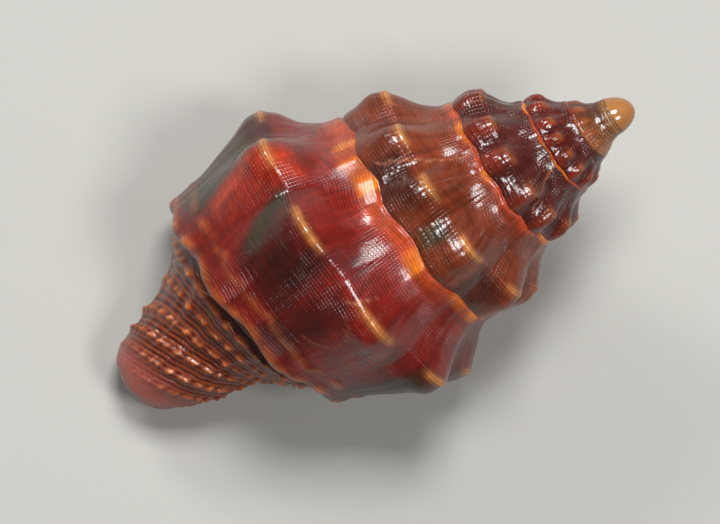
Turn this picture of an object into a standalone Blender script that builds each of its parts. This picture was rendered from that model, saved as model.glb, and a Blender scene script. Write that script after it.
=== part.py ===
"""Spindle shell of a sea snail, lying mouth down on the outer lip and two knobs of the last whorl.

The shell is one wall wound round a slanting coil axis. Each whorl is laid down as rows of points
from the seam with the whorl above, over the knobbed shoulder, to the seam with the whorl below.
The last whorl runs on past that seam, over the base and the neck, to the tip of the canal. The
mouth opens into a tapering hollow between the outer wall and the pillar.
"""

import math

import bmesh
import bpy
from mathutils import Matrix, Vector

# Main sizes in millimetres, measured along or out from the coil axis
MM = 0.001
LENGTH = 45.3
WALL = 1.5
LIP_WALL = 0.9
TIP_WALL = 0.6

# Growth: depth of the seam below the apex at bearing 0, and its factor for one whole turn
SEAM_DEPTH = 18.4
TURN_FACTOR = 1.649
SEAM_SWAY = 0.05

# Bearings in degrees round the axis; the back of the shell is 0 and growth raises the bearing
LIP = 125.0
APEX_BEARING = -1675.0
HOLLOW_TURN = 240.0
STEPS_PER_TURN = 60

# Radius of the seam in millimetres at bearings along the growth
SEAM_RADIUS = (
    (-1900.0, 0.65), (-1530.0, 1.35), (-1170.0, 2.2), (-990.0, 2.8), (-810.0, 3.6), (-630.0, 4.3),
    (-450.0, 5.5), (-270.0, 6.8), (-90.0, 8.3), (90.0, 9.6), (125.0, 9.9),
)

# Knobs on the shoulder: their bearings, and their height along the growth in millimetres
KNOBS = (
    -1248.0, -1222.0, -1196.0, -1170.0, -1144.0, -1118.0, -1092.0, -1068.0, -1046.0, -1016.0,
    -989.0, -963.0, -938.0, -910.0, -882.0, -853.0, -824.0, -795.0, -766.0, -738.0, -707.0,
    -678.0, -645.0, -613.0, -582.0, -551.0, -521.0, -491.0, -460.0, -427.0, -382.0, -345.0,
    -315.0, -277.0, -236.0, -193.0, -148.0, -104.0, -67.0, -25.0, 20.0, 56.0, 96.0,
)
KNOB_HEIGHT = (
    (-1400.0, 0.0), (-1170.0, 0.25), (-990.0, 0.45), (-810.0, 0.65), (-630.0, 0.95),
    (-450.0, 1.3), (-270.0, 1.7), (-90.0, 1.6), (90.0, 1.7), (125.0, 1.4),
)
KNOB_SHARE = 0.36

# Share of a knob's height carried by each lengthwise station, seam to canal tip
KNOB_PROFILE = (0, 0.06, 0.42, 0.88, 1.0, 0.9, 0.62, 0.36, 0.14, 0, 0, 0, 0, 0, 0, 0, 0)

# Whorl above the last: shares of the seam-to-seam radius and depth at its eight stations
WHORL_RADIUS = (0, 0.12, 0.26, 0.44, 0.62, 0.77, 0.9, 1.0)
WHORL_DEPTH = (0, 0.14, 0.3, 0.43, 0.54, 0.67, 0.82, 1.0)

# Last whorl: radius and depth below the apex at each station past the seam, by bearing
LAST_WHORL = {
    -235.0: (
        (9.3, 22.9), (8.3, 24.3), (7.0, 25.7), (5.8, 26.9), (4.4, 28.3), (2.9, 30.6), (2.1, 34.6),
        (1.5, 44.0),
    ),
    -180.0: (
        (7.9, 15.5), (8.3, 16.8), (8.8, 17.9), (9.3, 19.0), (9.5, 20.1), (9.5, 21.3), (9.2, 22.7),
        (8.7, 24.3), (8.0, 25.9), (6.9, 27.2), (5.8, 28.6), (4.7, 30.3), (3.8, 32.9), (3.5, 37.5),
        (2.4, 43.5),
    ),
    -90.0: (
        (8.5, 18.5), (8.9, 19.8), (9.5, 21.0), (10.2, 22.1), (10.4, 23.3), (10.3, 24.6),
        (10.0, 26.2), (9.5, 27.7), (8.8, 29.4), (7.4, 30.8), (6.3, 32.1), (5.1, 33.8),
        (4.1, 35.8), (3.8, 39.0), (2.6, 43.6),
    ),
    0.0: (
        (9.5, 20.1), (10.1, 21.7), (10.6, 23.0), (11.1, 24.0), (11.3, 25.3), (11.3, 26.6),
        (11.0, 28.3), (10.6, 30.2), (10.0, 32.6), (8.3, 33.8), (7.0, 35.0), (5.7, 36.5),
        (4.7, 38.3), (4.1, 40.6), (2.6, 44.5),
    ),
    90.0: (
        (10.2, 21.7), (10.8, 23.4), (11.5, 24.6), (11.9, 25.7), (12.1, 26.9), (12.1, 28.5),
        (11.9, 30.2), (11.5, 32.1), (10.9, 34.8), (9.0, 35.8), (7.6, 37.0), (6.1, 38.4),
        (5.2, 40.0), (4.3, 41.9), (2.9, 44.8),
    ),
    125.0: (
        (10.5, 22.7), (11.2, 24.2), (11.8, 25.3), (12.2, 26.2), (12.4, 27.4), (12.4, 29.1),
        (12.2, 30.8), (11.8, 32.8), (11.2, 35.2), (9.4, 36.4), (8.0, 37.6), (6.6, 38.9),
        (5.6, 40.4), (4.4, 42.1), (2.9, 44.8),
    ),
}
SEAM_STATION = 7
LAST_STATION = 16

# The canal tip stands a little towards the back of the shell
TIP_LIFT = 0.5

# Resting attitude in degrees: turn about the coil axis, then apex raised from the table.
# The worn flats on the lip and on two knobs of the belly are this deep in millimetres.
ROLL = 4.19
PITCH = 17.47
WORN = 0.1

# Glossy red-brown shell
SHELL_COLOUR = (0.19, 0.03, 0.015, 1.0)
SHELL_ROUGHNESS = 0.25


def through(knots, x):
    """Value at x of a smooth curve through rising (x, value) knots."""
    xs = [k[0] for k in knots]
    ys = [k[1] for k in knots]
    if x <= xs[0]:
        return ys[0]
    if x >= xs[-1]:
        return ys[-1]
    i = max(k for k in range(len(xs) - 1) if xs[k] <= x)

    def slope(k):
        low, high = max(k - 1, 0), min(k + 1, len(xs) - 1)
        return (ys[high] - ys[low]) / (xs[high] - xs[low])

    h = xs[i + 1] - xs[i]
    t = (x - xs[i]) / h
    start = (1 + 2 * t) * (1 - t) ** 2 * ys[i] + t * (1 - t) ** 2 * h * slope(i)
    end = t * t * (3 - 2 * t) * ys[i + 1] + t * t * (t - 1) * h * slope(i + 1)
    return start + end


def seam(bearing):
    """Radius and depth of the seam above the whorl at a bearing."""
    growth = TURN_FACTOR ** (bearing / 360.0)
    sway = 1.0 - SEAM_SWAY * math.sin(math.radians(bearing))
    return through(SEAM_RADIUS, bearing), SEAM_DEPTH * growth * sway


def whorl_stations(bearing):
    """Radius and depth at the stations between the seams of a whorl above the last one."""
    r0, z0 = seam(bearing)
    r1, z1 = seam(bearing + 360.0)
    return [
        (r0 + (r1 - r0) * a, z0 + (z1 - z0) * b)
        for a, b in zip(WHORL_RADIUS, WHORL_DEPTH)
    ]


def last_stations(bearing):
    """Radius and depth at all the stations of the last whorl, seam to tip."""
    columns = {}
    for at, stated in LAST_WHORL.items():
        if at == LIP - 360.0:
            columns[at] = whorl_stations(at) + list(stated)
        else:
            columns[at] = [seam(at)] + list(stated)
    found = [seam(bearing)]
    for station in range(1, LAST_STATION):
        r = through([(at, column[station][0]) for at, column in columns.items()], bearing)
        z = through([(at, column[station][1]) for at, column in columns.items()], bearing)
        found.append((r, z))
    return found


def knob(bearing):
    """Height of the shoulder's knobs at a bearing."""
    height = 0.0
    for i, at in enumerate(KNOBS):
        before = at - KNOBS[i - 1] if i else KNOBS[1] - at
        after = KNOBS[i + 1] - at if i + 1 < len(KNOBS) else before
        width = KNOB_SHARE * (before if bearing < at else after)
        height = max(height, math.exp(-(((bearing - at) / width) ** 2)))
    return height * through(KNOB_HEIGHT, bearing)


def outer_row(bearing, last):
    """Stations of the outer face at a bearing, knobs included."""
    stations = last_stations(bearing) if last else whorl_stations(bearing)
    height = knob(bearing)
    return [(r + height * KNOB_PROFILE[k], z) for k, (r, z) in enumerate(stations)]


def place(bearing, radius, depth):
    """Point in metres for a bearing, radius and depth; the back faces +Z and the apex +Y."""
    turn = math.radians(bearing)
    return Vector((-radius * math.sin(turn), -depth, radius * math.cos(turn))) * MM


def tip():
    return Vector((0.0, -LENGTH, TIP_LIFT)) * MM


def inner_row(bearing):
    """Stations of the wall's inner face, from beside the seam to beside the tip."""
    row = outer_row(bearing, True) + [(0.4, LENGTH)]
    depth = LIP - bearing
    found = []
    for k in range(1, LAST_STATION):
        (r0, z0), (r1, z1) = row[k - 1], row[k + 1]
        along = math.hypot(r1 - r0, z1 - z0)
        wall = LIP_WALL + (WALL - LIP_WALL) * min(1.0, depth / 40.0)
        wall = wall + (TIP_WALL - wall) * max(0.0, (k - 12) / 3.0)
        r = row[k][0] - wall * (z1 - z0) / along
        z = row[k][1] + wall * (r1 - r0) / along
        found.append((r, z))
    return found


def pillar_row(bearing):
    """Stations of the pillar and the whorl above it, inside the hollow at a bearing."""
    start = [seam(LIP)] + list(LAST_WHORL[LIP - 360.0])
    shrink = TURN_FACTOR ** ((bearing - LIP) / 360.0)
    found = []
    for k, (r, z) in enumerate(start[1:]):
        low = min(1.0, max(0.0, (z - 26.0) / 12.0))
        keep = shrink + (1.0 - shrink) * low
        found.append((r * (0.6 * keep + 0.4 * shrink), z * keep - 0.9 * low * (1.0 - shrink)))
    return found


def hollow_loop(bearing):
    """One closed loop round the hollow: out along the wall's inner face, back along the pillar."""
    wall = inner_row(bearing)
    pillar = pillar_row(bearing)
    wall[0] = tuple((a + b) / 2 for a, b in zip(pillar[0], wall[1]))
    return pillar[:1] + wall + pillar[:0:-1]


def shell_mesh():
    mesh = bpy.data.meshes.new("shell")
    bm = bmesh.new()
    turn = 360.0 / STEPS_PER_TURN
    last_start = round((LIP - 360.0 - APEX_BEARING) / turn)
    rows = last_start + STEPS_PER_TURN + 1
    bearings = [LIP - turn * (rows - 1 - i) for i in range(rows)]
    end = bm.verts.new(tip())

    # Rows of points down the outer face; a whorl above the last one shares the next seam's points
    grid = []
    for i, bearing in enumerate(bearings):
        last = i >= last_start
        stations = outer_row(bearing, last)
        count = LAST_STATION if last else SEAM_STATION
        grid.append([bm.verts.new(place(bearing, *stations[k])) for k in range(count)])
        if last:
            grid[i].append(end)
    for i in range(last_start):
        grid[i].append(grid[i + STEPS_PER_TURN][0])
    start = grid[last_start]
    start[SEAM_STATION] = grid[-1][0]

    def face(*corners):
        kept = [v for k, v in enumerate(corners) if v is not corners[k - 1]]
        if len(kept) > 2:
            bm.faces.new(kept)

    def strip(one, other):
        for k in range(len(one) - 1):
            face(one[k], other[k], other[k + 1], one[k + 1])

    for i in range(rows - 1):
        columns = SEAM_STATION if i < last_start else LAST_STATION
        strip(grid[i][: columns + 1], grid[i + 1][: columns + 1])

    # Rounded cap over the first whorl
    rim = [grid[i][0] for i in range(STEPS_PER_TURN + 1)] + grid[0][SEAM_STATION - 1 : 0 : -1]
    top = Vector((0.0, 0.0, 0.0))
    rings = [rim]
    for share in (0.8, 0.45):
        ring = []
        for v in rim:
            flat = Vector((v.co.x, 0.0, v.co.z)) * share
            drop = v.co.y * (1.0 - math.sqrt(1.0 - share * share))
            ring.append(bm.verts.new(flat + Vector((0.0, drop, 0.0))))
        rings.append(ring)
    peak = bm.verts.new(top)
    for outer, inner in zip(rings, rings[1:]):
        strip(inner + inner[:1], outer + outer[:1])
    for k in range(len(rim)):
        face(peak, rings[-1][k], rings[-1][(k + 1) % len(rim)])

    # Hollow: the lip's edge, then loops wound inwards, then the end
    pillar = start[SEAM_STATION:]
    lip = grid[-1]
    first = hollow_loop(LIP)
    wall = [bm.verts.new(place(LIP, *p)) for p in first[1:LAST_STATION]]
    loop = [pillar[1]] + wall + pillar[-2:1:-1]
    strip(lip, [pillar[1]] + wall + [pillar[-2]])
    steps = round(HOLLOW_TURN / turn)
    for step in range(1, steps + 1):
        bearing = LIP - turn * step
        inward = [bm.verts.new(place(bearing, *p)) for p in hollow_loop(bearing)]
        strip(loop + loop[:1], inward + inward[:1])
        loop = inward
    middle = sum((v.co for v in loop), Vector()) / len(loop)
    centre = bm.verts.new(middle)
    for k in range(len(loop)):
        face(loop[k], centre, loop[(k + 1) % len(loop)])

    bmesh.ops.triangulate(bm, faces=bm.faces[:])
    bmesh.ops.recalc_face_normals(bm, faces=bm.faces[:])
    bm.to_mesh(mesh)
    bm.free()
    return mesh


def shell_material():
    material = bpy.data.materials.new("glossy_shell")
    material.use_nodes = True
    principled = material.node_tree.nodes["Principled BSDF"]
    principled.inputs["Base Color"].default_value = SHELL_COLOUR
    principled.inputs["Roughness"].default_value = SHELL_ROUGHNESS
    return material


def set_down(shell):
    """Turn the shell into its resting attitude, centre it over the origin and grind the flats."""
    lie = Matrix.Rotation(math.radians(PITCH), 4, "X") @ Matrix.Rotation(math.radians(ROLL), 4, "Y")
    shell.data.transform(lie)
    lowest = min(v.co.z for v in shell.data.vertices)
    bpy.ops.object.mode_set(mode="EDIT")
    bpy.ops.mesh.select_all(action="SELECT")
    bpy.ops.mesh.bisect(
        plane_co=(0.0, 0.0, lowest + WORN * MM),
        plane_no=(0.0, 0.0, 1.0),
        use_fill=True,
        clear_inner=True,
        threshold=1e-7,
    )
    bpy.ops.mesh.select_all(action="SELECT")
    bpy.ops.mesh.quads_convert_to_tris()
    bpy.ops.object.mode_set(mode="OBJECT")
    corners = [v.co for v in shell.data.vertices]
    low = [min(c[k] for c in corners) for k in range(3)]
    high = [max(c[k] for c in corners) for k in range(3)]
    middle = Vector(((low[0] + high[0]) / 2, (low[1] + high[1]) / 2, low[2]))
    shell.data.transform(Matrix.Translation(-middle))


def main():
    for item in list(bpy.data.objects):
        bpy.data.objects.remove(item)
    collection = bpy.data.collections.new("leucozonia_shell")
    bpy.context.scene.collection.children.link(collection)
    shell = bpy.data.objects.new("shell", shell_mesh())
    shell.data.materials.append(shell_material())
    collection.objects.link(shell)
    bpy.context.view_layer.objects.active = shell
    shell.select_set(True)
    set_down(shell)


main()
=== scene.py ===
"""Looks of a knobbed spindle shell, wound by the same growth law as its solid model.

The wall is laid down as rows of points round a slanting coil axis. Each row runs from the seam
with the whorl above, over the knobbed shoulder, to the seam below. On the last whorl it runs on
over the base and the ribbed neck to the canal's tip. The mouth opens into a tapering hollow.
A growth law gives this shape better than edit mode would, so its points are worked out here.
"""

import math

import bpy
import numpy as np
from mathutils import Matrix, Vector


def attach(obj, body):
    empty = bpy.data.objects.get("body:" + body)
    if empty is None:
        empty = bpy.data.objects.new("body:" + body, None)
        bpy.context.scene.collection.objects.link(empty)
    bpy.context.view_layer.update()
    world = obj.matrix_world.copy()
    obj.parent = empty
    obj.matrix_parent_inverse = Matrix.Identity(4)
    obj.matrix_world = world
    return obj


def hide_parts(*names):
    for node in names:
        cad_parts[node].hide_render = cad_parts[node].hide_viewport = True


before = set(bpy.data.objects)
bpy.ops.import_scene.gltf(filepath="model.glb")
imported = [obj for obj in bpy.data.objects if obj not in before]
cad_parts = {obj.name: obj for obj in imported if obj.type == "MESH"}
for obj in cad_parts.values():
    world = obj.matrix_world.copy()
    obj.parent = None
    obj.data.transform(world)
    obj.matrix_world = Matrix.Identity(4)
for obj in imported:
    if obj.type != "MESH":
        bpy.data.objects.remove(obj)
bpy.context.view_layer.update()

bl_info = {
    "name": "Spindle Shell",
    "version": (1, 0, 0),
    "blender": (4, 5, 0),
    "location": "3D View > Sidebar > Spindle Shell",
    "description": "Winds a glossy knobbed spindle shell and lays it on a pale studio floor",
    "category": "Add Mesh",
}

# Main sizes in millimetres, measured along or out from the coil axis
MM = 0.001
LENGTH = 45.3
WALL = 1.5
LIP_WALL = 0.9
TIP_WALL = 0.6

# Growth: depth of the seam below the apex at bearing 0, and its factor for one whole turn
SEAM_DEPTH = 18.4
TURN_FACTOR = 1.649
SEAM_SWAY = 0.05

# Millimetres that a line of growth leans along the growth, for each millimetre down the whorl
GROWTH_LEAN = 0.12

# Bearings in degrees round the axis; the back of the shell is 0 and growth raises the bearing
LIP = 125.0
FIRST_LIP = LIP - 360.0
APEX_BEARING = -1675.0
HOLLOW_TURN = 240.0
STEPS_PER_TURN = 240

# The fine relief grows from nothing to its full height between these bearings
FULL_RELIEF = (-1500.0, -500.0)

# Radius of the seam in millimetres at bearings along the growth
SEAM_RADIUS = (
    (-1900.0, 0.65), (-1530.0, 1.35), (-1170.0, 2.2), (-990.0, 2.8), (-810.0, 3.6), (-630.0, 4.3),
    (-450.0, 5.5), (-270.0, 6.8), (-90.0, 8.3), (90.0, 9.6), (125.0, 9.9),
)

# Knobs on the shoulder: their bearings, and their height along the growth in millimetres
KNOBS = (
    -1500.0, -1472.0, -1444.0, -1416.0, -1388.0, -1360.0, -1332.0, -1304.0, -1276.0,
    -1248.0, -1222.0, -1196.0, -1170.0, -1144.0, -1118.0, -1092.0, -1068.0, -1046.0, -1016.0,
    -989.0, -963.0, -938.0, -910.0, -882.0, -853.0, -824.0, -795.0, -766.0, -738.0, -707.0,
    -678.0, -645.0, -613.0, -582.0, -551.0, -521.0, -491.0, -460.0, -427.0, -382.0, -345.0,
    -315.0, -277.0, -236.0, -193.0, -148.0, -104.0, -67.0, -25.0, 20.0, 56.0, 96.0,
)
KNOB_HEIGHT = (
    (-1560.0, 0.0), (-1400.0, 0.12), (-1170.0, 0.25), (-990.0, 0.45), (-810.0, 0.65),
    (-630.0, 0.95), (-450.0, 1.3), (-270.0, 1.7), (-90.0, 1.6), (90.0, 1.7), (125.0, 1.4),
)
KNOB_SHARE = 0.36

# Share of a knob's height carried by each lengthwise station, seam to canal tip
KNOB_PROFILE = (0, 0.06, 0.42, 0.88, 1.0, 0.9, 0.62, 0.36, 0.14, 0, 0, 0, 0, 0, 0, 0, 0)

# Stretches of pigment: mask, first and last bearing in degrees, their shift in degrees for each
# millimetre down the whorl, and how many millimetres below the shoulder each starts and ends
STRETCHES = (
    ("flames", 44, 56, 0.0, -2.0, 6.2), ("olive", 33, 41, 2.35, 0.3, 5.0),
    ("dark", 6, 41, 2.35, 0.2, 6.6), ("dark", 58, 104, 0.0, -0.6, 8.6),
    ("olive", 70, 92, 2.0, 1.6, 8.0), ("dark", -20, -3, 0.0, 0.8, 8.4),
    ("dark", -96, -54, 0.0, -0.4, 9.0), ("olive", -64, -56, 0.0, 0.8, 4.0),
    ("flames", -132, -122, 0.0, -2.0, 6.0), ("dark", -176, -138, 2.0, 0.2, 7.0),
    ("olive", -150, -138, 3.0, 0.3, 4.6), ("flames", -222, -213, 0.0, -1.0, 5.0),
    ("dark", -218, -196, 2.0, 0.2, 6.0), ("dark", -350, -322, 0.0, 0.6, 4.0),
    ("dark", -420, -396, 0.0, 0.4, 4.0), ("olive", -372, -362, 0.0, 0.6, 3.0),
)

# Degrees that each pigment fades over at a stretch's first and last bearing
FADES = {"dark": (6.0, 2.5), "olive": (2.5, 2.5), "flames": (6.0, 6.0)}

# Whorl above the last: shares of the seam-to-seam radius and depth, to one station past the seam
WHORL_RADIUS = (0, 0.12, 0.26, 0.44, 0.62, 0.77, 0.9, 1.0, 0.8)
WHORL_DEPTH = (0, 0.14, 0.3, 0.43, 0.54, 0.67, 0.82, 1.0, 1.235)

# Last whorl: radius and depth below the apex at each station past the seam, by bearing
LAST_WHORL = {
    FIRST_LIP: (
        (9.3, 22.9), (8.3, 24.3), (7.0, 25.7), (5.8, 26.9), (4.4, 28.3), (2.9, 30.6), (2.1, 34.6),
        (1.5, 44.0),
    ),
    -180.0: (
        (7.9, 15.5), (8.3, 16.8), (8.8, 17.9), (9.3, 19.0), (9.5, 20.1), (9.5, 21.3), (9.2, 22.7),
        (8.7, 24.3), (8.0, 25.9), (6.9, 27.2), (5.8, 28.6), (4.7, 30.3), (3.8, 32.9), (3.5, 37.5),
        (2.4, 43.5),
    ),
    -90.0: (
        (8.5, 18.5), (8.9, 19.8), (9.5, 21.0), (10.2, 22.1), (10.4, 23.3), (10.3, 24.6),
        (10.0, 26.2), (9.5, 27.7), (8.8, 29.4), (7.4, 30.8), (6.3, 32.1), (5.1, 33.8),
        (4.1, 35.8), (3.8, 39.0), (2.6, 43.6),
    ),
    0.0: (
        (9.5, 20.1), (10.1, 21.7), (10.6, 23.0), (11.1, 24.0), (11.3, 25.3), (11.3, 26.6),
        (11.0, 28.3), (10.6, 30.2), (10.0, 32.6), (8.3, 33.8), (7.0, 35.0), (5.7, 36.5),
        (4.7, 38.3), (4.1, 40.6), (2.6, 44.5),
    ),
    90.0: (
        (10.2, 21.7), (10.8, 23.4), (11.5, 24.6), (11.9, 25.7), (12.1, 26.9), (12.1, 28.5),
        (11.9, 30.2), (11.5, 32.1), (10.9, 34.8), (9.0, 35.8), (7.6, 37.0), (6.1, 38.4),
        (5.2, 40.0), (4.3, 41.9), (2.9, 44.8),
    ),
    LIP: (
        (10.5, 22.7), (11.2, 24.2), (11.8, 25.3), (12.2, 26.2), (12.4, 27.4), (12.4, 29.1),
        (12.2, 30.8), (11.8, 32.8), (11.2, 35.2), (9.4, 36.4), (8.0, 37.6), (6.6, 38.9),
        (5.6, 40.4), (4.4, 42.1), (2.9, 44.8),
    ),
}

# Healed scars down the whorl: bearings at the shoulder, shift in degrees per millimetre, and how
# many millimetres below the shoulder each starts and ends
SCARS = ((-748.0, -5.0, -2.6, 1.2), (-328.0, 1.6, -4.0, 2.8), (-13.0, 2.0, -1.5, 0.8))

# Healed chip: bearing, millimetres below the shoulder, and radius
CHIP = (-14.8, 3.5, 2.0)

# Stations of the shoulder, the seam, the weak and the basal cord, the groove under that cord,
# the base, the neck's end and the canal's tip
CREST_STATION = 4
SEAM_STATION = 7
WEAK_CORD_STATION = 8.35
BASAL_CORD_STATION = 9.0
GROOVE_STATION = 9.95
BASE_STATION = 10
NECK_STATION = 15
LAST_STATION = 16

# Millimetres that the canal's tip turns up
TIP_LIFT = 0.5

# Neck: cords from one beaded ridge to the next, and the cords' slant in millimetres a radian
CORDS_PER_RIDGE = 4
NECK_SLANT = 1.7

# Resting attitude in degrees, and where that puts the apex, in millimetres
ROLL = 4.19
PITCH = 17.47
APEX_PLACE = (1.097, 21.68, 15.939)

# Columns of points: seam to seam, over the belly, down the neck, and across the tip
SEAM_COLUMNS = 48
BELLY_COLUMNS = 34
NECK_COLUMNS = 112
TIP_COLUMNS = 14

# The two turns nearest the apex have half the columns
COARSE_TURNS = 2

# Points of the inner lip passed over at each end before the hollow starts
LIP_FOOT = 8

# Loops of the hollow are this many growth steps apart
HOLLOW_STEP = 3

# What each corner of the mesh tells the finish
MASKS = (
    "growth", "shoulder", "turns", "outer", "skin", "flank", "dark", "flames", "olive", "ripe",
    "neck", "groove", "cord", "tip", "streak", "band", "ramp", "scar", "mouth", "throat",
)


def curve(knots, x):
    """Smooth curve through rising (x, value) knots, at an array of x."""
    xs = np.array([k[0] for k in knots], float)
    ys = np.array([k[1] for k in knots], float)
    x = np.clip(x, xs[0], xs[-1])
    i = np.clip(np.searchsorted(xs, x, side="right") - 1, 0, len(xs) - 2)
    low = np.maximum(np.arange(len(xs)) - 1, 0)
    high = np.minimum(np.arange(len(xs)) + 1, len(xs) - 1)
    slope = (ys[high] - ys[low]) / (xs[high] - xs[low])
    h = xs[i + 1] - xs[i]
    t = (x - xs[i]) / h
    start = (1 + 2 * t) * (1 - t) ** 2 * ys[i] + t * (1 - t) ** 2 * h * slope[i]
    end = t * t * (3 - 2 * t) * ys[i + 1] + t * t * (t - 1) * h * slope[i + 1]
    return start + end


def step(x, low, high):
    """0 below low, 1 above high, smooth between."""
    t = np.clip((x - low) / (high - low), 0.0, 1.0)
    return t * t * (3 - 2 * t)


def hump(x, width):
    """1 at 0, falling to nothing on both sides."""
    return np.exp(-((x / width) ** 2))


def ripple(x, period, seed):
    """Uneven waves about a period long, between -1 and 1."""
    random = np.random.RandomState(seed)
    total = np.zeros_like(x)
    for k in range(5):
        wave = period * (0.62 + 0.19 * k + 0.05 * random.rand())
        total += np.sin(2 * np.pi * (x / wave + random.rand()))
    return total / 3.2


def seam(bearing):
    """Radius and depth of the seam above the whorl at bearings."""
    depth = SEAM_DEPTH * TURN_FACTOR ** (bearing / 360.0)
    return curve(SEAM_RADIUS, bearing), depth * (1 - SEAM_SWAY * np.sin(np.radians(bearing)))


def knobs(bearing):
    """Share of the shoulder knobs' full height at bearings."""
    at = np.array((2 * KNOBS[0] - KNOBS[1], *KNOBS, 2 * KNOBS[-1] - KNOBS[-2]))
    i = np.clip(np.searchsorted(at, bearing, side="right") - 1, 0, len(at) - 2)
    on = (bearing - at[i]) / (at[i + 1] - at[i])
    before = np.where(i > 0, hump(on, KNOB_SHARE), 0.0)
    after = np.where(i + 1 < len(at) - 1, hump(1 - on, KNOB_SHARE), 0.0)
    return np.maximum(before, after)


def whorl_stations(bearing):
    """Radius and depth at the stations of a whorl above the last one, one row per bearing."""
    r0, z0 = seam(bearing)
    r1, z1 = seam(bearing + 360.0)
    r = r0[:, None] + (r1 - r0)[:, None] * np.array(WHORL_RADIUS)
    z = z0[:, None] + (z1 - z0)[:, None] * np.array(WHORL_DEPTH)
    return np.stack((r, z), -1)


def last_stations(bearing):
    """Radius and depth at all the stations of the last whorl, one row per bearing."""
    upper = whorl_stations(np.array([FIRST_LIP]))[0][: SEAM_STATION + 1].tolist()
    columns = {at: [(0, 0)] + list(stated) for at, stated in LAST_WHORL.items()}
    columns[FIRST_LIP] = upper + list(LAST_WHORL[FIRST_LIP])
    found = np.zeros((len(bearing), LAST_STATION + 1, 2))
    found[:, 0] = np.stack(seam(bearing), -1)
    for station in range(1, LAST_STATION):
        for k in range(2):
            knots = [(at, column[station][k]) for at, column in columns.items()]
            found[:, station, k] = curve(knots, bearing)
    found[:, LAST_STATION] = (0.0, LENGTH)
    return found


def shares(t, count):
    """How much each of a row's stations counts at each place t along it."""
    found = np.zeros((len(t), count))
    for row, at in enumerate(t):
        k = min(int(at), count - 2)
        f = at - k
        found[row, k] += (1 + 2 * f) * (1 - f) ** 2
        found[row, k + 1] += f * f * (3 - 2 * f)
        for end, weight in ((k, f * (1 - f) ** 2), (k + 1, f * f * (f - 1))):
            low, high = max(end - 1, 0), min(end + 1, count - 1)
            found[row, high] += weight / (high - low)
            found[row, low] -= weight / (high - low)
    return found


def run_down(rows):
    """Distance down each row of radius and depth, in millimetres."""
    steps = np.diff(rows, axis=1)
    run = np.cumsum(np.hypot(steps[..., 0], steps[..., 1]), 1)
    return np.concatenate((np.zeros((len(rows), 1)), run), 1)


def outward(rows):
    """Direction in radius and depth that points out of the shell."""
    slope = np.gradient(rows, axis=1)
    size = np.maximum(np.hypot(slope[..., 0], slope[..., 1]), 1e-9)
    return np.stack((slope[..., 1] / size, -slope[..., 0] / size), -1)


def column_at(t, station):
    """The column nearest a station."""
    return int(np.argmin(np.abs(t - station)))


def wound(bearing, t, last):
    """Rows of radius and depth with their knobs, before the fine relief."""
    if last:
        rows = shares(t, LAST_STATION + 1) @ last_stations(bearing)
    else:
        rows = shares(t, SEAM_STATION + 2) @ whorl_stations(bearing)
    share = knobs(bearing)
    height = share * curve(KNOB_HEIGHT, bearing)
    carried = knobs(bearing - 360.0) * curve(KNOB_HEIGHT, bearing - 360.0)
    profile = shares(t, len(KNOB_PROFILE)) @ np.array(KNOB_PROFILE, float)

    # The upper edge rides over the knobs of the whorl above, and the seam dips below each of them
    rows[..., 0] += height[:, None] * profile
    rows[..., 0] += KNOB_PROFILE[SEAM_STATION] * carried[:, None] * (1 - step(t, 0.0, 2.6))
    rows[..., 1] += (0.32 * carried - 0.12)[:, None] * (1 - step(t, 0.0, 1.6))
    dip = (0.32 * height - 0.12)[:, None] * step(t, 5.4, 7.0)
    if last:
        beside = 1 - step(bearing, FIRST_LIP, FIRST_LIP + 25)
        rows[..., 1] += dip * beside[:, None] * (1 - step(t, 7.0, 9.0))
        # The basal cord sags below each knob
        sag = 0.75 * (share - 0.3) * step(bearing, FIRST_LIP + 30, FIRST_LIP + 70)
        rows[..., 1] += sag[:, None] * hump(t - BASAL_CORD_STATION, 0.8)
    else:
        rows[..., 1] += dip
    return rows


def past(run, t, station):
    """Millimetres down each row past a station, less than nothing before it."""
    return run - run[:, column_at(t, station)][:, None]


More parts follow.
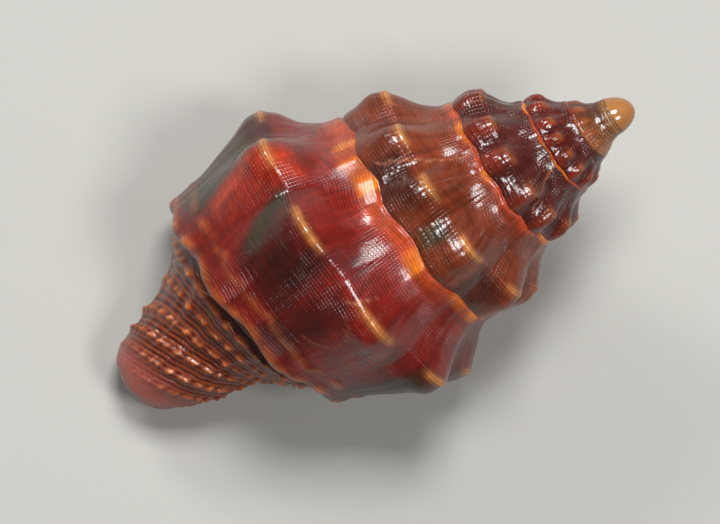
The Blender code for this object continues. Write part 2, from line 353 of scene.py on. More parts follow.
def base_and_neck(height, run, bearing, t, grown, sizes):
    """The last whorl's relief with its base and neck added, and their masks."""
    free = np.where(t > 6.5, step(bearing, FIRST_LIP + 8, FIRST_LIP + 45)[:, None], 1.0)

    # Basal cord in uneven swellings, with a weak cord over it and the groove under it, which also
    # gets painted shade
    swelling = np.clip(0.55 + 0.5 * ripple(grown, 3.4, 8), 0.0, 1.2)
    basal = hump(past(run, t, BASAL_CORD_STATION), 0.55)
    weak = hump(past(run, t, WEAK_CORD_STATION) - 0.2 * ripple(grown, 2.7, 14), 0.3)
    groove = hump(past(run, t, GROOVE_STATION), 0.65)
    height = height + sizes.weak_cord / MM * free * weak * swelling
    height += sizes.basal_cord / MM * free * basal * (0.4 + 0.6 * swelling)
    height -= sizes.basal_groove / MM * free * groove

    # Neck cords slant towards the lip; some are broad ridges that swell into beads
    back = run[int(np.argmin(np.abs(bearing)))]
    slant = NECK_SLANT * step(t, 10.0, 14.5) * np.radians(bearing)[:, None]
    number = (back - back[column_at(t, 10.4)] - slant) / (sizes.neck_spacing / MM)
    fine = 0.5 + 0.5 * np.cos(2 * np.pi * number)
    ridge_number = np.round(number / CORDS_PER_RIDGE)
    ridge = hump(number - CORDS_PER_RIDGE * ridge_number, 0.75)
    beads = np.clip(0.4 + 0.8 * ripple(grown + 2.3 * ridge_number, 2.6, 9), 0.0, 1.3)
    reach = step(t, 9.9, 10.5) * (1 - 0.85 * step(t, 14.1, 14.9)) * free
    height += sizes.neck_cords / MM * reach * fine
    height += sizes.neck_ridges / MM * reach * ridge * (0.4 + 0.6 * beads)
    swells = ripple(grown, 4.5, 12) * step(t, 10.2, 11.0)
    height += free * 0.1 * swells * (1 - step(t, 13.6, 14.6))

    # The tip of the canal is smooth
    height *= 1 - step(t, 15.3, 15.9)
    crowns = (
        basal**2 * swelling, reach * ridge * beads, 0.45 * weak * swelling * free,
        0.3 * reach * fine,
    )
    masks = {
        "cord": np.clip(np.maximum.reduce(crowns), 0, 1),
        # Grooves under the basal cord and between the neck cords get painted shade
        "groove": np.maximum(groove, reach * (1 - fine) * (1 - 0.5 * ridge)) * free,
        "neck": step(t, 9.2, 10.2),
        "tip": step(t, 14.1, 14.9),
        "mouth": (1 - step(bearing, FIRST_LIP, FIRST_LIP + 22))[:, None] * step(t, 7.2, 8.0),
    }
    return height, masks


def pigments(bearing, shoulder):
    """Masks of the stretches of pigment."""
    masks = dict.fromkeys(FADES, 0.0)
    for name, first, end, shift, top, bottom in STRETCHES:
        at = bearing[:, None] + shift * np.maximum(shoulder, 0.0)
        start_fade, end_fade = FADES[name]
        patch = step(at, first - start_fade, first + start_fade)
        patch = patch * (1 - step(at, end - end_fade, end + end_fade))
        patch = patch * step(shoulder, top - 0.5, top + 0.5)
        patch = patch * (1 - step(shoulder, bottom - 0.9, bottom + 0.9))
        masks[name] = np.maximum(masks[name], patch)
    return masks


def scars(bearing, shoulder, radius):
    """Mask of the healed scars, fullness of the healed chip, and the bright spot on it."""
    scar = np.zeros_like(shoulder)
    for at, shift, top, bottom in SCARS:
        off = (bearing[:, None] - at - shift * shoulder) * np.radians(radius)
        line = hump(off + 0.12 * ripple(shoulder, 1.1, 31), 0.07)
        scar = np.maximum(scar, line * (shoulder > top) * (shoulder < bottom))
    at, down, size = CHIP
    across = (bearing[:, None] - at) * np.radians(radius)
    away = np.hypot(across, shoulder - down)
    scar = np.maximum(scar, 0.6 * hump(away - size, 0.07) * step(across, 0.4, -0.6))
    spot = 0.4 * hump(np.hypot(across + 1.0, shoulder - down + 0.5), 0.42)
    return scar, hump(away, 1.2), spot


def relief(rows, bearing, t, last, growth, sizes):
    """Height of the fine relief in millimetres, and the masks that the finish reads."""
    run = run_down(rows)
    share = knobs(bearing)[:, None]
    shoulder = past(run, t, CREST_STATION)
    grown = growth[:, None] + GROWTH_LEAN * shoulder
    size = step(bearing, *FULL_RELIEF)[:, None]

    # Growing edge lapped on the whorl above
    lap = (1 - np.exp(-run / 0.12)) * np.exp(-run / 0.9)
    height = sizes.growing_edge / MM * (0.1 + 0.9 * size) * lap
    height *= 1 + 0.25 * ripple(grown, 2.1, 3)

    # Cord along the shoulder; each knob is fullest a little below it
    height += sizes.shoulder_cord / MM * (0.05 + 0.95 * share) * size * hump(shoulder, 0.26)
    full = hump(shoulder - 1.1 * size, 0.1 + 1.1 * size)
    height += sizes.knob_bulge / MM * share**2 * full * size

    # Lines of growth, fainter towards the axis
    lines = ripple(grown, 1.3, 5) + 0.6 * ripple(grown, 0.7, 6)
    lines *= np.clip(rows[..., 0] / rows[:, column_at(t, CREST_STATION), :1], 0, 1) ** 2
    height += sizes.growth_lines / MM * lines * (0.4 + 0.6 * size) * (1 - np.exp(-run / 0.3))

    # The lower flank swells, then tucks in at the seam below
    reach = np.maximum(-past(run, t, SEAM_STATION), 0)
    swell = sizes.flank_swell / MM * size * (1 - np.exp(-reach / 0.22)) * step(t, 3.5, 6.0)
    if last:
        swell *= (1 - step(bearing, FIRST_LIP, FIRST_LIP + 35))[:, None]
        height, masks = base_and_neck(height + swell, run, bearing, t, grown, sizes)
    else:
        height += swell
        masks = dict.fromkeys(("cord", "groove", "neck", "tip", "mouth"), 0.0)
    scar, healed, spot = scars(bearing, shoulder, rows[..., 0])
    height += 0.03 * scar + 0.05 * healed

    # Masks; the orange band under the seam is as wide as suits its whorl
    late = step(bearing, -460.0, -400.0)[:, None]
    narrow = 0.42 ** (-bearing[:, None] / 360.0)
    from_seam = run / narrow + 0.35 * ripple(grown / narrow**0.5, 3.1, 21)
    masks.update(pigments(bearing, shoulder))
    masks.update(
        growth=grown,
        shoulder=shoulder,
        turns=bearing[:, None] / 360.0,
        outer=1.0,
        skin=1.0 - 0.75 * masks["neck"],
        flank=step(shoulder, 0.2, 0.9) * size,
        flames=np.maximum(masks["flames"], spot),
        ripe=step(share, 0.3, 0.9) * step(shoulder, -0.7, 0.1) * (1 - late),
        streak=hump(shoulder, 0.3) * step(share, 0.5, 0.88) * (0.25 + 0.75 * late),
        band=(1 - step(from_seam, 0.5, 1.5)) * step(bearing, -1200.0, -950.0)[:, None],
        ramp=(1 - step(from_seam, 0.8, 4.0)) * late,
        scar=scar,
    )
    return height, masks


def placed(bearing, rows, t):
    """Points in millimetres on the shell's own axes: the back faces +Z and the apex +Y."""
    turn = np.radians(np.reshape(bearing, (-1, 1)))
    lift = TIP_LIFT * step(t, NECK_STATION, LAST_STATION)
    across = -rows[..., 0] * np.sin(turn)
    up = rows[..., 0] * np.cos(turn) + lift
    return np.stack((across, -rows[..., 1], up), -1)


def inner_face(bearing, t, near, far):
    """One row of the wall's inner face inside the last whorl, drawn in to the pillar's ends."""
    row = wound(np.array([bearing]), t, True)
    deep = LIP - bearing
    wall = LIP_WALL + (WALL - LIP_WALL) * min(deep / 40.0, 1.0)
    wall = wall + (TIP_WALL - wall) * step(t, 11.5, 15.0)

    # Ridges along the inside of the lip
    ridges = np.cos(2 * np.pi * t * 1.7) * step(t, 2.5, 4.0) * (1 - step(t, 10.0, 12.0))
    wall = wall + 0.09 * ridges * step(deep, 1.0, 6.0) * (1 - step(deep, 25.0, 60.0))
    found = (row - wall[:, None] * outward(row))[0]
    lead = column_at(t, 1.6)
    found[:lead] = near + (found[lead] - near) * np.linspace(0, 1, lead + 1)[:lead, None]
    trail = column_at(t, NECK_STATION)
    share = np.linspace(0, 1, len(t) - trail)[:, None]
    found[trail:] = found[trail] + (far - found[trail]) * share
    return found


def pillar(bearing, start, t):
    """The pillar inside the hollow, wound back from the mouth's inner side, with weak folds."""
    shrink = TURN_FACTOR ** ((bearing - LIP) / 360.0)
    r, z = start[:, 0], start[:, 1]
    low = np.clip((z - 26.0) / 12.0, 0.0, 1.0)
    keep = shrink + (1.0 - shrink) * low
    folds = sum(hump(t - at, 0.13) for at in (11.3, 11.8, 12.3))
    r = r * (0.6 * keep + 0.4 * shrink) + 0.22 * folds * step(LIP - bearing, 2.0, 14.0)
    return np.stack((r, z * keep - 0.9 * low * (1.0 - shrink)), -1)


class Wall:
    """Points, masks and faces as they are laid down. A point may stand in the place of another."""

    def __init__(self):
        self.points = []
        self.masks = {name: [] for name in MASKS}
        self.same = []
        self.faces = []

    def add(self, points, **masks):
        """Lay down a row, or rows, of points, and return their numbers."""
        points = np.asarray(points, float)
        shape = points.shape[:-1]
        first = len(self.same)
        count = int(np.prod(shape))
        self.points.append(points.reshape(-1, 3))
        for name in MASKS:
            self.masks[name].append(np.broadcast_to(masks.get(name, 0.0), shape).reshape(-1))
        self.same.extend(range(first, first + count))
        return np.arange(first, first + count).reshape(shape)

    def at(self, numbers):
        """Places of points by their numbers."""
        return np.concatenate(self.points)[[self.same[n] for n in numbers]]

    def face(self, *corners):
        """Lay a face, without the corners that stand in one place."""
        kept = [
            int(v) for k, v in enumerate(corners) if self.same[v] != self.same[corners[k - 1]]
        ]
        if len(kept) > 2:
            self.faces.append(kept)

    def strip(self, one, other):
        """Faces between two rows, the first of which may have twice the columns."""
        if len(one) == len(other):
            for k in range(len(one) - 1):
                self.face(one[k], other[k], other[k + 1], one[k + 1])
            return
        for k in range(len(other) - 1):
            self.face(one[2 * k], other[k], one[2 * k + 1])
            self.face(other[k], other[k + 1], one[2 * k + 1])
            self.face(one[2 * k + 1], other[k + 1], one[2 * k + 2])

    def ring(self, one, other):
        """Faces between two closed loops."""
        self.strip(np.append(one, one[:1]), np.append(other, other[:1]))

    def fan(self, middle, ring):
        """Faces from a closed loop to one point."""
        for k in range(len(ring)):
            self.face(middle, ring[k], ring[(k + 1) % len(ring)])


def columns_of_row():
    """Places along a full row, closer at the seams and evenly spread down the neck."""
    x = np.linspace(0, 1, SEAM_COLUMNS + 1)
    upper = SEAM_STATION * (x - 0.06 * np.sin(2 * np.pi * x))
    belly = np.linspace(SEAM_STATION, BASE_STATION, BELLY_COLUMNS + 1)[1:]
    fine = np.linspace(BASE_STATION, NECK_STATION, 400)
    run = run_down(wound(np.array([0.0]), fine, True))[0]
    neck = np.interp(np.linspace(0, run[-1], NECK_COLUMNS + 1), run, fine)[1:]
    tip = np.linspace(NECK_STATION, LAST_STATION, TIP_COLUMNS + 1)[1:]
    return np.concatenate((upper, belly, neck, tip))


def lay_outer_face(wall, sizes, t):
    """Rows of the outer face from the apex to the lip, stitched along the seam."""
    turn = 360.0 / STEPS_PER_TURN
    last_start = round((FIRST_LIP - APEX_BEARING) / turn)
    rows = last_start + STEPS_PER_TURN + 1
    bearing = LIP - turn * (rows - 1 - np.arange(rows))
    upper = t[: SEAM_COLUMNS + 1]
    coarse_end = COARSE_TURNS * STEPS_PER_TURN
    stretches = (
        (0, coarse_end, upper[::2], False),
        (coarse_end, last_start, upper, False),
        (last_start, rows, t, True),
    )
    crest = np.array([CREST_STATION, CREST_STATION + 1.0])
    radius = [wound(bearing[a:b], crest, last)[:, 0, 0] for a, b, _, last in stretches]
    growth = np.cumsum(np.concatenate(radius) * math.radians(turn))
    grid = []
    for first, end, columns, last in stretches:
        some = bearing[first:end]
        base = wound(some, columns, last)
        height, masks = relief(base, some, columns, last, growth[first:end], sizes)
        points = placed(some, base + height[..., None] * outward(base), columns)
        grid += list(wall.add(points, **masks))

    # Stitch the seam: a whorl's lower edge is the next whorl's upper edge, and all tips are one
    for i in range(last_start):
        wall.same[grid[i][-1]] = grid[i + STEPS_PER_TURN][0]
    wall.same[grid[last_start][SEAM_COLUMNS]] = grid[-1][0]
    for i in range(last_start, rows):
        wall.same[grid[i][-1]] = grid[-1][-1]
    for i in range(rows - 1):
        one, other = grid[i], grid[i + 1]
        if i + 1 == coarse_end:
            wall.strip(other, one)
        elif i + 1 == last_start:
            wall.strip(one, other[: SEAM_COLUMNS + 1])
        else:
            wall.strip(one, other)
    return grid, last_start


def lay_apex(wall, grid):
    """Rounded cap over the first whorl."""
    rim = np.array([grid[i][0] for i in range(STEPS_PER_TURN + 1)] + list(grid[0][-2:0:-1]))
    edge = wall.at(rim)
    ring = rim
    masks = {"turns": FIRST_TURN, "shoulder": -2.0, "outer": 1.0, "skin": 1.0}
    for share in (0.94, 0.84, 0.7, 0.54, 0.36, 0.18):
        drop = 1 - math.sqrt(1 - share * share)
        inner = wall.add(edge * (share, drop, share), **masks)
        wall.ring(inner, ring)
        ring = inner
    wall.fan(wall.add([(0.0, 0.0, 0.0)], **masks)[0], ring)


def lay_mouth(wall, grid, last_start, t):
    """Rounded lip, then the hollow wound back from it to a closed end."""
    lip = grid[-1]
    side = grid[last_start][SEAM_COLUMNS:]
    side_t = t[SEAM_COLUMNS:]
    start = wound(np.array([FIRST_LIP]), t, True)[0][SEAM_COLUMNS:]
    masks = {"shoulder": 3.0, "turns": 0.35}
    inner = placed(LIP, inner_face(LIP, t, start[LIP_FOOT], start[-1 - LIP_FOOT])[None], t)[0]
    outer = wall.at(lip)
    base = wound(np.array([LIP]), t, True)
    ahead = placed(LIP + 1.0, base, t)[0] - placed(LIP, base, t)[0]
    ahead /= np.maximum(np.linalg.norm(ahead, axis=1, keepdims=True), 1e-9)
    thick = np.minimum(np.linalg.norm(inner - outer, axis=1, keepdims=True), 1.1)
    edge = lip
    for share in (0.12, 0.3, 0.5, 0.7, 0.88):
        bulge = 0.32 * thick * math.sin(math.pi * share) ** 0.7
        points = outer + (inner - outer) * share + ahead * bulge
        masks["mouth"] = 0.3 + 0.7 * share
        new = wall.add(points[1:-1], **masks)
        new = np.concatenate((lip[:1], new, lip[-1:]))
        wall.strip(edge, new)
        edge = new
    masks["mouth"] = 1.0
    face_row = wall.add(inner[1:-1], **masks)
    wall.strip(edge[1:-1], face_row)
    foot, toe = side[LIP_FOOT], side[-1 - LIP_FOOT]
    wall.face(*side[: LIP_FOOT + 1], face_row[0], edge[1])
    wall.face(*side[-1 - LIP_FOOT :], edge[-2], face_row[-1])

    # Loops of the hollow: out along the wall's inner face and back along the pillar
    mid = slice(LIP_FOOT, len(side) - LIP_FOOT)
    out_row = np.concatenate(([foot], face_row, [toe]))
    core_row = side[mid]
    turn = 360.0 / STEPS_PER_TURN
    for k in range(1, round(HOLLOW_TURN / turn / HOLLOW_STEP) + 1):
        at = LIP - HOLLOW_STEP * turn * k
        core = pillar(at, start, side_t)
        out = inner_face(at, t, core[LIP_FOOT], core[-1 - LIP_FOOT])
        masks["throat"] = step((LIP - at) / HOLLOW_TURN, 0.05, 0.6)
        out_new = wall.add(placed(at, out[None], t)[0][::2], **masks)
        core_new = wall.add(placed(at, core[mid][None], side_t[mid])[0][::2], **masks)
        wall.same[core_new[0]] = out_new[0]
        wall.same[core_new[-1]] = out_new[-1]
        wall.strip(out_row, out_new)
        wall.strip(core_row, core_new)
        out_row, core_row = out_new, core_new
    ring = np.concatenate((out_row, core_row[-2:0:-1]))
    wall.fan(wall.add([wall.at(ring).mean(0)], **masks)[0], ring)


def shell_mesh(wall):
    """The mesh in its resting place, with its masks on the faces' corners."""
    same = np.array(wall.same)
    while (same[same] != same).any():
        same = same[same]
    used, number = np.unique(same[np.concatenate(wall.faces)], return_inverse=True)
    points = np.concatenate(wall.points)[used]
    mesh = bpy.data.meshes.new("spindle_shell")
    ends = np.cumsum([len(face) for face in wall.faces])[:-1]
    mesh.from_pydata(points.tolist(), [], [part.tolist() for part in np.split(number, ends)])
    corners = np.concatenate(wall.faces)
    for name in MASKS:
        values = np.concatenate(wall.masks[name])[corners].astype(np.float32)
        mesh.attributes.new(name, "FLOAT", "CORNER").data.foreach_set("value", values)

    # Lay it down, and wear flat what would reach into the floor
    lie = Matrix.Rotation(math.radians(PITCH), 4, "X") @ Matrix.Rotation(math.radians(ROLL), 4, "Y")
    apex = Matrix.Translation(Vector(APEX_PLACE) * MM)
    mesh.transform(apex @ lie @ Matrix.Scale(MM, 4))
    for vertex in mesh.vertices:
        vertex.co.z = max(vertex.co.z, 0.0)
    return mesh


def linear(colour):
    """Linear red, green and blue of an sRGB hex colour."""
    parts = [int(colour[k : k + 2], 16) / 255 for k in (1, 3, 5)]
    return tuple(p / 12.92 if p <= 0.04045 else ((p + 0.055) / 1.055) ** 2.4 for p in parts)


def add_node(tree, kind, feeds=(), out=0, **settings):
    """Add a node with its settings, set or link its inputs, and give back one of its outputs."""
    node = tree.nodes.new(kind)
    for name, value in settings.items():
        setattr(node, name, value)
    for key, value in dict(feeds).items():
        if isinstance(value, bpy.types.NodeSocket):
            tree.links.new(value, node.inputs[key])
        else:
            node.inputs[key].default_value = value
    return node.outputs[out]


# Patterns: blotches per millimetre along the growth and down the whorl, and their detail
PATTERNS = {
    "wash": (0.16, 0.22, 3.0), "clouds": (0.32, 0.2, 2.0), "patches": (0.5, 0.3, 3.0),
    "stretches": (0.22, 0.0, 1.0), "lines": (2.2, 0.3, 3.0), "threads": (0.4, 3.0, 2.0),
    "polish": (0.8, 0.8, 3.0), "grain": (6.0, 6.0, 2.0),
}

# Ground colour at a number of turns before the back of the last whorl
FIRST_TURN = -5.0
LAST_TURN = 0.4
GROUND = (
    (-5.0, "amber"), (-4.6, "amber"), (-3.7, "young"), (-2.6, "young"), (-2.3, "purple"),
    (-1.65, "purple"), (-1.3, "penultimate"), (-0.7, "penultimate"), (-0.5, "deep"), (-0.1, "red"),
)

# Layers of pigment, painted shade and painted glow from the ground up: colour, mask, pattern, where
# the pattern starts and saturates, and how thick the layer lies
LAYERS = (
    ("brown", "outer", "wash", 0.45, 0.7, 0.45), ("brown", "dark", "clouds", 0.1, 0.5, 0.75),
    ("flame", "flames", "clouds", 0.25, 0.6, 0.8), ("olive", "olive", "patches", 0.2, 0.45, 0.95),
    ("scar", "scar", "patches", 0.1, 0.4, 0.7), ("flame", "ripe", "patches", 0.2, 0.5, 0.22),
    # The shade layer paints shade into the grooves under the basal cord and between the neck cords
    ("neck", "neck", "clouds", 0.0, 0.3, 0.75), ("shade", "groove", "clouds", 0.0, 0.3, 0.75),
    ("cord", "cord", "patches", 0.1, 0.5, 0.9), ("tip", "tip", "clouds", 0.0, 0.3, 0.95),
    ("streak", "streak", "patches", 0.1, 0.4, 0.9), ("flame", "ramp", "wash", 0.35, 0.65, 0.32),
    ("edge", "band", "clouds", 0.0, 0.2, 0.9),
    # The glow layer is partly the growing edge's own orange and partly painted glow of light
    # shining through the thin edge
    ("glow", "band", "stretches", 0.5, 0.62, 1.0), ("mouth", "mouth", "clouds", 0.0, 0.2, 1.0),
    ("throat", "throat", "clouds", 0.0, 0.3, 1.0),
)


def aragonite_shell(sizes, colours):
    """Aragonite shell, laid down by the mantle in cross-laid layers and polished by the animal.

    It is hard and glossy like porcelain. Its pigment follows the growth: bands down the whorl
    where growth paused, threads round the whorl, and orange growing edges, brightened in places
    with painted glow of light shining through the thin new shell. Grooves get painted shade.
    where growth paused, threads round the whorl, and bright unstained limy growing edges.
    """
    material = bpy.data.materials.new("aragonite_shell")
    material.use_nodes = True
    tree = material.node_tree
    surface = tree.nodes["Principled BSDF"]
    read = {}
    for name in MASKS:
        read[name] = add_node(tree, "ShaderNodeAttribute", out="Fac", attribute_name=name)
    patterns = {}
    for seed, (name, (along, down, detail)) in enumerate(PATTERNS.items()):
        x = add_node(tree, "ShaderNodeMath", {0: read["growth"], 1: along}, operation="MULTIPLY")
        y = add_node(tree, "ShaderNodeMath", {0: read["shoulder"], 1: down}, operation="MULTIPLY")
        place = add_node(tree, "ShaderNodeCombineXYZ", {0: x, 1: y, 2: 7.3 * seed})
        feeds = {"Vector": place, "Scale": 1.0, "Detail": detail}
        patterns[name] = add_node(tree, "ShaderNodeTexNoise", feeds)

    # Ground colour, whorl by whorl from the amber apex to the red last whorl
    age = add_node(tree, "ShaderNodeMapRange", {0: read["turns"], 1: FIRST_TURN, 2: LAST_TURN})
    colour = add_node(tree, "ShaderNodeValToRGB", {0: age})
    points = colour.node.color_ramp.elements
    for k, (turn, name) in enumerate(GROUND):
        at = (turn - FIRST_TURN) / (LAST_TURN - FIRST_TURN)
        stop = points[k] if k < 2 else points.new(at)
        stop.position = at
        stop.color = (*getattr(colours, name), 1.0)

    # Layers of pigment, with painted shade in the grooves and painted glow on the growing edge
    for name, mask, pattern, low, high, thick in LAYERS:
        limits = {0: patterns[pattern], 1: low, 2: high, 4: thick}
        patch = add_node(tree, "ShaderNodeMapRange", limits, interpolation_type="SMOOTHSTEP")
        share = add_node(tree, "ShaderNodeMath", {0: patch, 1: read[mask]}, operation="MULTIPLY")
        feeds = {0: share, 6: colour, 7: (*getattr(colours, name), 1.0)}
        colour = add_node(tree, "ShaderNodeMix", feeds, out=2, data_type="RGBA")

    # Growth lines and threads darken and lighten the pigment
    for pattern, low, high in (("lines", 0.78, 1.2), ("threads", 0.8, 1.16)):
        limits = {0: patterns[pattern], 1: 0.35, 2: 0.65, 3: low, 4: high}
        shade = add_node(tree, "ShaderNodeMapRange", limits)
        grey = add_node(tree, "ShaderNodeCombineColor", {0: shade, 1: shade, 2: shade})
        feeds = {0: read["skin"], 6: colour, 7: grey}
        settings = {"data_type": "RGBA", "blend_type": "MULTIPLY"}
        colour = add_node(tree, "ShaderNodeMix", feeds, out=2, **settings)

    # Threads and growth striae part the outer face into small flat cells, too shallow for the mesh
    cells = read["outer"]
    for name, spacing in (("shoulder", sizes.thread_spacing), ("growth", sizes.stria_spacing)):
        turns = {0: read[name], 1: 2 * math.pi * MM / spacing}
        angle = add_node(tree, "ShaderNodeMath", turns, operation="MULTIPLY")
        wave = add_node(tree, "ShaderNodeMath", {0: angle}, operation="SINE")
        limits = {0: wave, 1: -1.0, 2: -0.25}
        flat = add_node(tree, "ShaderNodeMapRange", limits, interpolation_type="SMOOTHSTEP")
        cells = add_node(tree, "ShaderNodeMath", {0: cells, 1: flat}, operation="MULTIPLY")
        if name == "shoulder":
            # Painted shade darkens the grooves between threads
            groove = add_node(tree, "ShaderNodeMapRange", {0: flat, 3: 0.35, 4: 0.0})
            share = add_node(
                tree, "ShaderNodeMath", {0: groove, 1: read["skin"]}, operation="MULTIPLY"
            )
            feeds = {0: share, 6: colour, 7: (*colours.shade, 1.0)}
            colour = add_node(tree, "ShaderNodeMix", feeds, out=2, data_type="RGBA")
    tree.links.new(colour, surface.inputs["Base Color"])

    # Rounded cords below the shoulder, and a faint grain that sparkles
    turns = {0: read["shoulder"], 1: 2 * math.pi * MM / sizes.cord_spacing}
    angle = add_node(tree, "ShaderNodeMath", turns, operation="MULTIPLY")
    wave = add_node(tree, "ShaderNodeMath", {0: angle}, operation="SINE")
    cords = add_node(tree, "ShaderNodeMath", {0: wave, 1: read["flank"]}, operation="MULTIPLY")
    deep = {0: cords, 1: 0.5 * sizes.cord_depth / sizes.thread_depth, 2: cells}
    height = add_node(tree, "ShaderNodeMath", deep, operation="MULTIPLY_ADD")
    rough = {0: patterns["grain"], 1: 0.35, 2: height}
    height = add_node(tree, "ShaderNodeMath", rough, operation="MULTIPLY_ADD")
    feeds = {"Height": height, "Distance": sizes.thread_depth, "Strength": 1.0}
    pressed = add_node(tree, "ShaderNodeBump", feeds)
    tree.links.new(pressed, surface.inputs["Normal"])

    limits = {0: patterns["polish"], 1: 0.3, 2: 0.7, 3: 0.08, 4: 0.16}
    worn = add_node(tree, "ShaderNodeMapRange", limits)
    tree.links.new(worn, surface.inputs["Roughness"])
    surface.inputs["IOR"].default_value = 1.53
    return material


def length_property(name, description, value):
    return bpy.props.FloatProperty(
        name=name,
        description=description,
        default=value * MM,
        min=0.0,
        precision=5,
        subtype="DISTANCE",
        unit="LENGTH",
    )


def colour_property(name, description, value):
    return bpy.props.FloatVectorProperty(
        name=name, description=description, default=linear(value), subtype="COLOR", min=0.0, max=1.0
    )


class SpindleSizes(bpy.types.PropertyGroup):
    """Heights and spacings of the shell's fine relief, given in millimetres."""

    growing_edge: length_property("Growing edge", "Step of a whorl over the one above", 0.2)
    shoulder_cord: length_property("Shoulder cord", "Height of the cord over the knobs", 0.18)
    growth_lines: length_property("Growth lines", "Height of the uneven lines of growth", 0.03)
    knob_bulge: length_property("Knob bulge", "Fullness of the knobs below their cord", 0.3)
    flank_swell: length_property("Flank swell", "Fullness of the flank over the seam", 0.13)
    weak_cord: length_property("Weak cord", "Height of the cord over the basal cord", 0.11)
    basal_cord: length_property("Basal cord", "Height of the cord above the neck", 0.3)
    basal_groove: length_property("Basal groove", "Depth of the groove under that cord", 0.42)
    neck_cords: length_property("Neck cords", "Height of the neck's fine cords", 0.075)
    neck_ridges: length_property("Neck ridges", "Height of the neck's beaded ridges", 0.36)
    neck_spacing: length_property("Neck spacing", "From one neck cord to the next", 0.5)
    thread_spacing: length_property("Thread spacing", "Between threads round the whorls", 0.26)
    stria_spacing: length_property("Stria spacing", "Between striae across the threads", 0.28)
    thread_depth: length_property("Thread depth", "Depth of the grooves between threads", 0.019)
    cord_spacing: length_property("Cord spacing", "Between the cords below the shoulder", 0.48)
    cord_depth: length_property("Cord depth", "Depth of the grooves between those cords", 0.012)


class SpindleColours(bpy.types.PropertyGroup):
    """Pigments of the shell."""

    red: colour_property("Red", "Ground of the last whorl's back", "#701208")
    deep: colour_property("Deep red", "Ground of the last whorl's sides", "#480e08")
    brown: colour_property("Brown", "Washes and the dark belly", "#260d09")
    flame: colour_property("Flame", "Orange-red bands and upper knobs", "#c03c16")
    olive: colour_property("Olive", "Patches below the knobs", "#352b15")
    penultimate: colour_property("Penultimate", "Ground of the whorl above the last", "#722f17")
    purple: colour_property("Purple brown", "Ground of the third whorl", "#4a1a15")
    young: colour_property("Young", "Ground of the smallest whorls", "#50150d")
    amber: colour_property("Amber", "Worn bead at the apex", "#a6703f")
    scar: colour_property("Scar", "Healed scars", "#a8694a")
    streak: colour_property("Streak", "Limy streak on each knob", "#b5743a")
    # Partly the growing edge's own orange, partly painted glow of light shining through the thin
    # edge
    edge: colour_property("Edge", "Growing edge at the seam", "#a83c14")
    glow: colour_property("Glow", "Thin bright stretches of the growing edge", "#dd7812")
    neck: colour_property("Neck", "Ground of the neck", "#5c140c")
    # Painted shade for the grooves under the basal cord, between the neck cords and between threads
    shade: colour_property("Groove", "Grooves of the neck", "#260805")
    cord: colour_property("Cord", "Crowns of the cords", "#c46a32")
    tip: colour_property("Tip", "Smooth end of the canal", "#a4564a")
    mouth: colour_property("Mouth", "Glazed lip and inner lip", "#d0a382")
    throat: colour_property("Throat", "Deep inside the mouth", "#9a4c27")


class SpindleStage(bpy.types.PropertyGroup):
    """Floor and light."""

    floor: colour_property("Floor", "Pale floor", "#a9a7a2")
    key_power: bpy.props.FloatProperty(
        name="Key power", description="Power of the main soft light", default=2.2, unit="POWER"
    )
    fill: bpy.props.FloatProperty(
        name="Fill", description="Strength of the even light from all round", default=0.07
    )


class SPINDLE_OT_shell(bpy.types.Operator):
    """Wind the shell, finish it and lay it on its belly"""

    bl_idname = "spindle.shell"
    bl_label = "Wind shell"

    def execute(self, context):
        bpy.ops.object.select_all(action="DESELECT")
        sizes = context.scene.spindle_sizes
        t = columns_of_row()
        wall = Wall()
        grid, last_start = lay_outer_face(wall, sizes, t)
        lay_apex(wall, grid)
        lay_mouth(wall, grid, last_start, t)
        shell = bpy.data.objects.new("spindle_shell", shell_mesh(wall))
        context.collection.objects.link(shell)
        context.view_layer.objects.active = shell
        shell.select_set(True)
        bpy.ops.object.mode_set(mode="EDIT")
        bpy.ops.mesh.select_all(action="SELECT")
        bpy.ops.mesh.normals_make_consistent(inside=False)
        bpy.ops.object.mode_set(mode="OBJECT")
        bpy.ops.object.shade_smooth()
        shell.data.materials.append(aragonite_shell(sizes, context.scene.spindle_colours))
        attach(shell, "root")
        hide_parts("shell")
        return {"FINISHED"}


# Camera: lean over the coil axis and turn round the line of sight in degrees, then the picture's
# scale and width, and the places of the apex and of the picture's middle, in its pixels
LEAN = 11.5
TWIST = 60.7
PIXELS_PER_MM = 13.07
PICTURE_WIDTH = 720
APEX_IN_VIEW = (4.0, -300.0)
AIM_IN_VIEW = (5.57, 14.59)
CAMERA_DISTANCE = 0.7
SENSOR = 36.0

# Floor and lights in metres: each light's direction to the right, up and towards the camera, its
# size, and its share of the key power
FLOOR_SIZE = 6.0
LIGHT_DISTANCE = 0.5
LIGHTS = (
    ("key", (0.08, 0.48, 0.87), 0.16, 1.15),
    ("second", (0.47, -0.15, 0.87), 0.13, 0.6),
    ("rim", (-0.42, 0.78, 0.46), 0.13, 0.5),
)


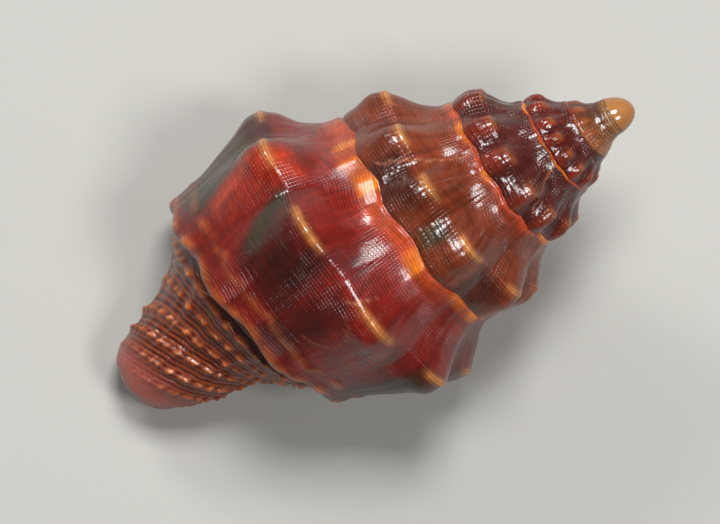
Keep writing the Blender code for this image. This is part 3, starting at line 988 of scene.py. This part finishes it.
class SPINDLE_OT_stage(bpy.types.Operator):
    """Lay the pale floor, and set the soft lights and the camera"""

    bl_idname = "spindle.stage"
    bl_label = "Set stage"

    def execute(self, context):
        scene = context.scene
        settings = scene.spindle_stage

        # The picture's right, up and towards-the-camera directions
        lean, twist = math.radians(LEAN), math.radians(TWIST)
        lie = Matrix.Rotation(math.radians(PITCH), 3, "X")
        lie = lie @ Matrix.Rotation(math.radians(ROLL), 3, "Y")
        across = lie @ Vector((1, 0, 0))
        along = lie @ Vector((0, math.cos(lean), -math.sin(lean)))
        back = lie @ Vector((0, math.sin(lean), math.cos(lean)))
        right = across * math.cos(twist) + along * math.sin(twist)
        up = along * math.cos(twist) - across * math.sin(twist)
        pixel = MM / PIXELS_PER_MM
        u, v = (a - b for a, b in zip(AIM_IN_VIEW, APEX_IN_VIEW))
        aim = Vector(APEX_PLACE) * MM + across * u * pixel - along * v * pixel

        bpy.ops.object.select_all(action="DESELECT")
        bpy.ops.mesh.primitive_plane_add(size=FLOOR_SIZE)
        floor = context.object
        floor.name = "floor"
        material = bpy.data.materials.new("matt_paint")
        material.use_nodes = True
        surface = material.node_tree.nodes["Principled BSDF"]
        surface.inputs["Base Color"].default_value = (*settings.floor, 1.0)
        surface.inputs["Roughness"].default_value = 0.8
        floor.data.materials.append(material)

        for name, (x, y, z), size, share in LIGHTS:
            where = (right * x + up * y + back * z).normalized()
            bpy.ops.object.light_add(type="AREA", location=aim + where * LIGHT_DISTANCE)
            light = context.object
            light.name = name
            light.data.shape = "SQUARE"
            light.data.size = size
            light.data.energy = settings.key_power * share
            light.rotation_euler = where.to_track_quat("Z", "Y").to_euler()

        camera = bpy.data.objects.new("camera", bpy.data.cameras.new("camera"))
        scene.collection.objects.link(camera)
        turned = Matrix((right, up, back)).transposed().to_4x4()
        camera.matrix_world = Matrix.Translation(aim + back * CAMERA_DISTANCE) @ turned
        camera.data.sensor_width = SENSOR
        camera.data.lens = SENSOR * CAMERA_DISTANCE / (PICTURE_WIDTH * pixel)
        camera.data.clip_end = 20.0
        scene.camera = camera

        world = bpy.data.worlds.new("studio")
        world.use_nodes = True
        background = world.node_tree.nodes["Background"]
        background.inputs["Color"].default_value = (1.0, 1.0, 1.0, 1.0)
        background.inputs["Strength"].default_value = settings.fill
        scene.world = world
        scene.view_settings.view_transform = "Standard"
        return {"FINISHED"}


class SPINDLE_PT_panel(bpy.types.Panel):
    """Sizes, colours and buttons of the spindle shell"""

    bl_idname = "SPINDLE_PT_panel"
    bl_label = "Spindle Shell"
    bl_space_type = "VIEW_3D"
    bl_region_type = "UI"
    bl_category = "Spindle Shell"

    def draw(self, context):
        for group in ("spindle_sizes", "spindle_colours", "spindle_stage"):
            settings = getattr(context.scene, group)
            column = self.layout.column()
            for name in type(settings).__annotations__:
                column.prop(settings, name)
        self.layout.operator(SPINDLE_OT_shell.bl_idname)
        self.layout.operator(SPINDLE_OT_stage.bl_idname)


CLASSES = (
    SpindleSizes, SpindleColours, SpindleStage, SPINDLE_OT_shell, SPINDLE_OT_stage,
    SPINDLE_PT_panel,
)


def register():
    for item in CLASSES:
        bpy.utils.register_class(item)
    bpy.types.Scene.spindle_sizes = bpy.props.PointerProperty(type=SpindleSizes)
    bpy.types.Scene.spindle_colours = bpy.props.PointerProperty(type=SpindleColours)
    bpy.types.Scene.spindle_stage = bpy.props.PointerProperty(type=SpindleStage)


def unregister():
    del bpy.types.Scene.spindle_stage
    del bpy.types.Scene.spindle_colours
    del bpy.types.Scene.spindle_sizes
    for item in reversed(CLASSES):
        bpy.utils.unregister_class(item)


def main():
    register()
    bpy.ops.spindle.shell()
    bpy.ops.spindle.stage()


if __name__ == "__main__":
    main()
